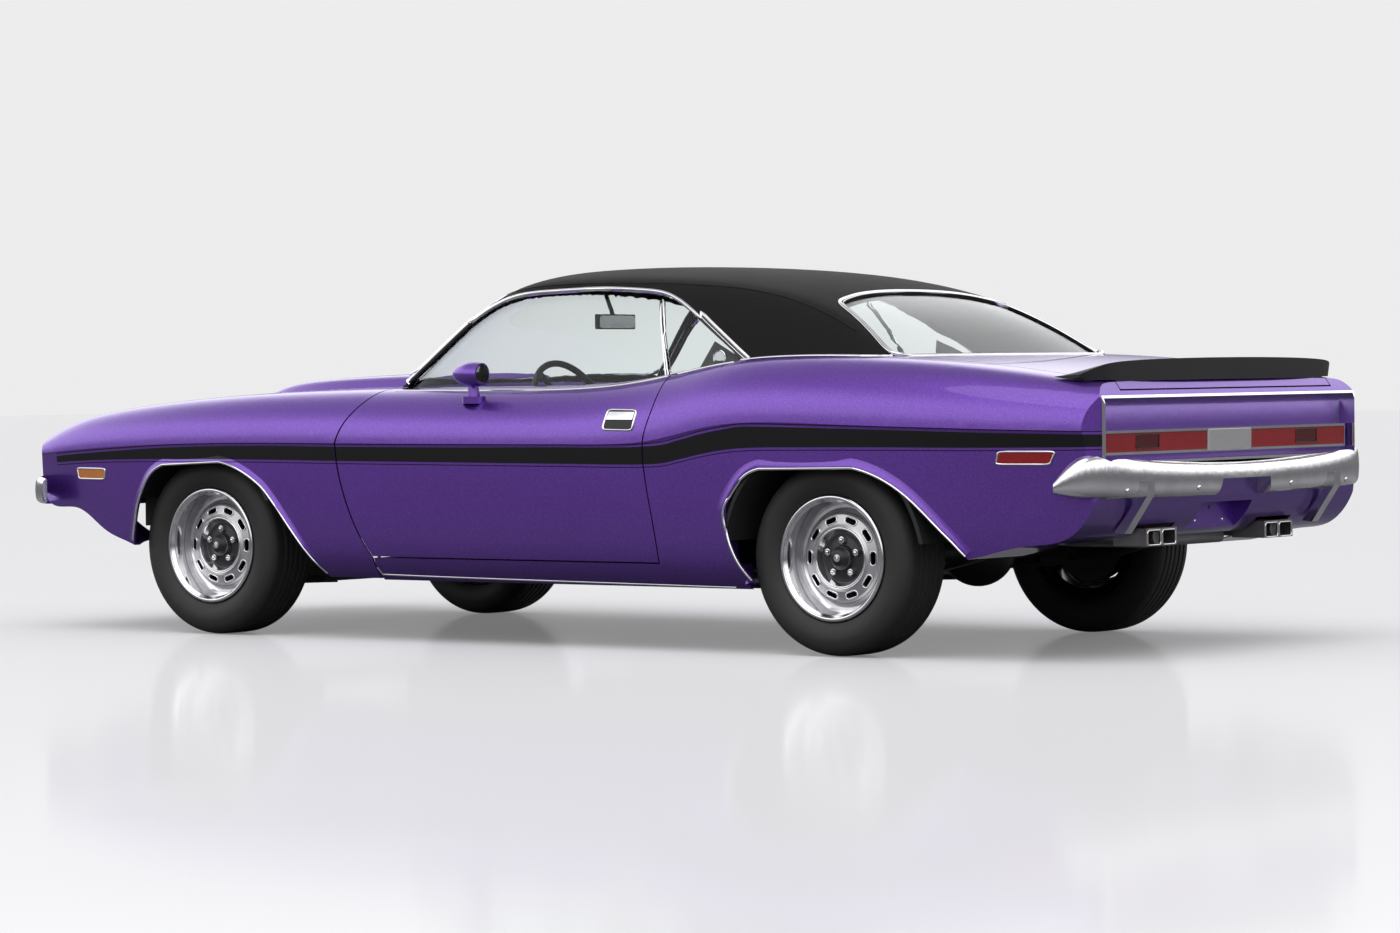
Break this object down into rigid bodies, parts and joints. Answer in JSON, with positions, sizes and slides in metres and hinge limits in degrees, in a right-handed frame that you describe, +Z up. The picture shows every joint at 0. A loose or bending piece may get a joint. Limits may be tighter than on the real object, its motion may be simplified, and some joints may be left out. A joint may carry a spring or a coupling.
{
  "type": "two-door hardtop muscle car",
  "caption": "Two-door hardtop muscle car with long hood, vinyl roof, rear wing, steered front wheels, hinged doors, hood and deck lid.",
  "frame": {"origin": "on the ground, midway along the overall length and width", "axes": "+X points to the front of the car, +Y to its left side, +Z up"},
  "size_m": [4.8524, 1.9326, 1.318],
  "materials": {
    "body_paint": "metallic purple paint under clear coat",
    "underbody": "satin black underbody paint",
    "grille_black": "matt black",
    "lamp_glass": "clear fluted glass",
    "window_glass": "lightly tinted glass",
    "bright_trim": "chrome plate",
    "red_lens": "red lens",
    "vinyl_roof": "grained black vinyl",
    "chassis_black": "black chassis paint",
    "engine_paint": "orange engine enamel",
    "exhaust_steel": "steel pipe",
    "tank_steel": "plated steel",
    "seat_vinyl": "black vinyl upholstery",
    "dash_black": "black grained plastic",
    "mirror_trim": "mirror in a dark back",
    "wing_black": "satin black",
    "tyre_rubber": "black rubber",
    "rally_rim": "argent paint with a bright trim ring"
  },
  "bodies": {
    "car_body": {"floor_pan": "underbody", "fender_left": "body_paint", "fender_right": "body_paint", "cowl_panel": "body_paint", "front_valance": "body_paint", "grille": "grille_black", "headlamps": "lamp_glass", "quarter_left": "body_paint", "quarter_right": "body_paint", "deck_filler": "body_paint", "tail_frame": "bright_trim", "tail_panel": "body_paint", "tail_lamps": "red_lens", "rear_valance": "body_paint", "bumpers": "bright_trim", "roof": "vinyl_roof", "fixed_glass": "window_glass", "front_suspension": "chassis_black", "rear_axle": "chassis_black", "engine_block": "engine_paint", "driveline": "chassis_black", "exhaust": "exhaust_steel", "fuel_tank": "tank_steel", "seats": "seat_vinyl", "dashboard": "dash_black", "inner_mirror": "mirror_trim"},
    "door_left": {"door_left": "body_paint", "door_glass_left": "window_glass", "door_mirror": "body_paint"},
    "door_right": {"door_right": "body_paint", "door_glass_right": "window_glass"},
    "hood": {"hood": "body_paint"},
    "deck_lid": {"deck_lid": "body_paint", "rear_wing": "wing_black"},
    "steering_wheel": {"steering_wheel": "dash_black"},
    "knuckle_left": {"knuckle_left": "chassis_black"},
    "knuckle_right": {"knuckle_right": "chassis_black"},
    "wheel_front_left": {"tyre_front_left": "tyre_rubber", "rim_front_left": "rally_rim"},
    "wheel_front_right": {"tyre_front_right": "tyre_rubber", "rim_front_right": "rally_rim"},
    "wheel_rear_left": {"tyre_rear_left": "tyre_rubber", "rim_rear_left": "rally_rim"},
    "wheel_rear_right": {"tyre_rear_right": "tyre_rubber", "rim_rear_right": "rally_rim"}
  },
  "joints": [
    {"name": "steer_left", "type": "hinge", "parent": "car_body", "child": "knuckle_left", "pos_m": [1.437, 0.67655, 0.326], "axis": [0, 0, 1], "range_deg": [-30, 30]},
    {"name": "steer_right", "type": "hinge", "parent": "car_body", "child": "knuckle_right", "pos_m": [1.437, -0.67655, 0.326], "axis": [0, 0, 1], "range_deg": [-30, 30]},
    {"name": "steering_wheel_turn", "type": "hinge", "parent": "car_body", "child": "steering_wheel", "pos_m": [0.12147, 0.37017, 0.80091], "axis": [-0.9063, 0, 0.4226], "range_deg": [-480, 480]},
    {"name": "door_left_hinge", "type": "hinge", "parent": "car_body", "child": "door_left", "pos_m": [0.57336, 0.91914, 0.5346], "axis": [0, 0, -1], "range_deg": [0, 65]},
    {"name": "door_right_hinge", "type": "hinge", "parent": "car_body", "child": "door_right", "pos_m": [0.57336, -0.91914, 0.5346], "axis": [0, 0, 1], "range_deg": [0, 65]},
    {"name": "hood_hinge", "type": "hinge", "parent": "car_body", "child": "hood", "pos_m": [0.66568, 0, 0.87021], "axis": [0, -1, 0], "range_deg": [0, 50]},
    {"name": "deck_lid_hinge", "type": "hinge", "parent": "car_body", "child": "deck_lid", "pos_m": [-1.50872, 0, 0.9603], "axis": [0, 1, 0], "range_deg": [0, 55]},
    {"name": "wheel_front_left_spin", "type": "hinge", "parent": "knuckle_left", "child": "wheel_front_left", "pos_m": [1.437, 0.758, 0.326], "axis": [0, 1, 0], "continuous": true},
    {"name": "wheel_front_right_spin", "type": "hinge", "parent": "knuckle_right", "child": "wheel_front_right", "pos_m": [1.437, -0.758, 0.326], "axis": [0, 1, 0], "continuous": true},
    {"name": "wheel_rear_left_spin", "type": "hinge", "parent": "car_body", "child": "wheel_rear_left", "pos_m": [-1.357, 0.771, 0.326], "axis": [0, 1, 0], "continuous": true},
    {"name": "wheel_rear_right_spin", "type": "hinge", "parent": "car_body", "child": "wheel_rear_right", "pos_m": [-1.357, -0.771, 0.326], "axis": [0, 1, 0], "continuous": true}
  ],
  "couplings": [
    {"joint": "steer_right", "follows": "steer_left", "ratio": 1},
    {"joint": "steering_wheel_turn", "follows": "steer_left", "ratio": 16}
  ]
}
